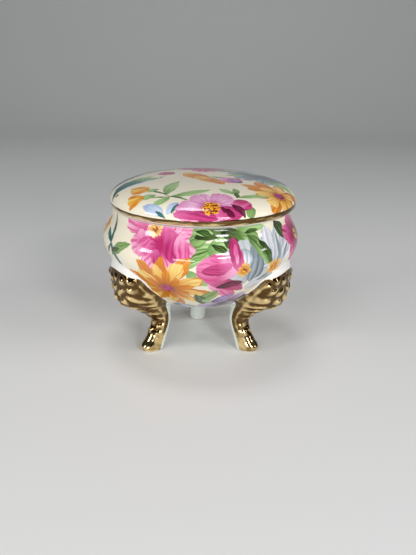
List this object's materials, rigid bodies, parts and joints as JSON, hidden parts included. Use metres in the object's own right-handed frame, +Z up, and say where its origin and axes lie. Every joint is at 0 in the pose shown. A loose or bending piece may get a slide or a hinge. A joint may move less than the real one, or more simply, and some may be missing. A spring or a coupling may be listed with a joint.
{
  "type": "footed trinket box",
  "caption": "Round porcelain trinket box on cabriole legs, with a domed lift-off lid, an all-over flower print and gilding.",
  "frame": {"origin": "on the bowl's axis, at the level of the three soles", "axes": "+Z up along the bowl's axis, -Y to the front, with a leg at the front left, the front right and the back"},
  "size_m": [0.064, 0.064, 0.057],
  "materials": {
    "bowl_porcelain": "glossy clear glaze over a cream ground with a printed pattern of large flowers; legs gilded bright, soles bare",
    "lid_porcelain": "glossy clear glaze over a cream ground with a printed pattern of large flowers; lower edge gilded bright"
  },
  "bodies": {
    "root": {"bowl": "bowl_porcelain", "lid": "lid_porcelain"}
  },
  "joints": []
}
